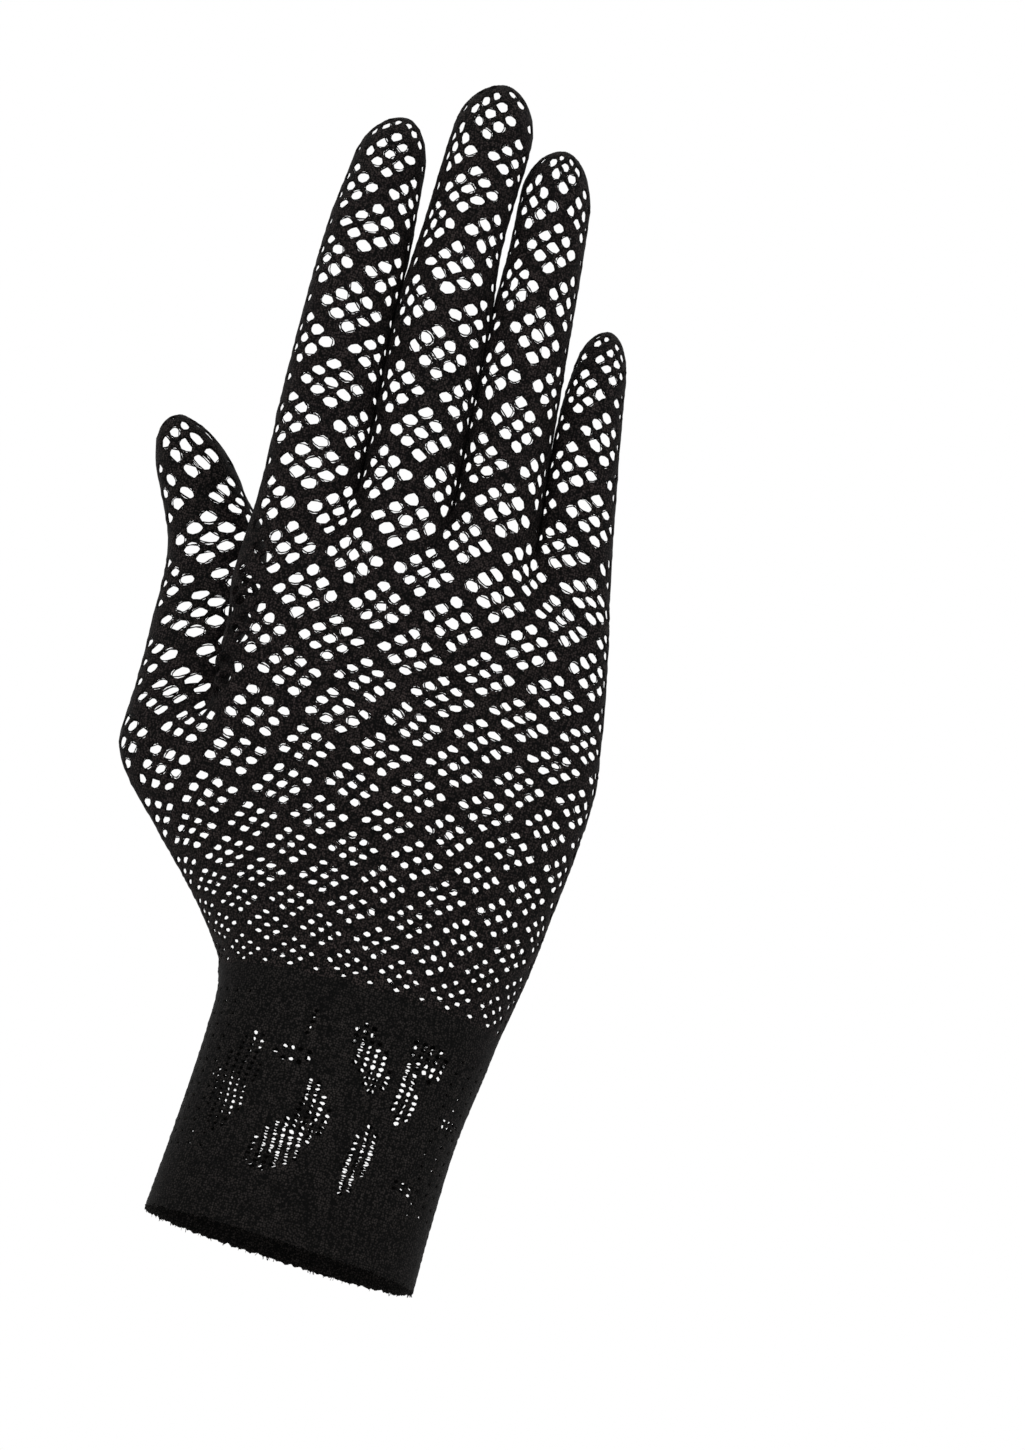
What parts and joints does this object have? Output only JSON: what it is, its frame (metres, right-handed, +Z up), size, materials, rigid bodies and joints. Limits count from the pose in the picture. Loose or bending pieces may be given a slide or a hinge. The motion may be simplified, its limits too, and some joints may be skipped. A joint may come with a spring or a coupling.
{
  "type": "jacquard glove",
  "caption": "Sheer black jacquard knit dress glove in its worn form, with net hand and fingers, plain wrist band and short lace cuff with a cut hem.",
  "frame": {"origin": "middle of the wrist opening, in the plane of the cut hem", "axes": "+Z up along the forearm towards the fingertips, +X towards the little finger, +Y towards the palm; the back of the hand looks to -Y"},
  "size_m": [0.1037, 0.0469, 0.2293],
  "materials": {
    "net_knit": "openwork jacquard net of fine black polyamide yarn",
    "lace_knit": "close jacquard knit of black polyamide yarn with pierced leaves",
    "plain_knit": "plain close knit of black polyamide yarn, cut edge"
  },
  "bodies": {
    "root": {"cut_hem": "plain_knit", "lace_cuff": "lace_knit", "wrist_band": "plain_knit", "hand_net": "net_knit", "thumb": "net_knit", "index_finger": "net_knit", "middle_finger": "net_knit", "ring_finger": "net_knit", "little_finger": "net_knit"}
  },
  "joints": []
}
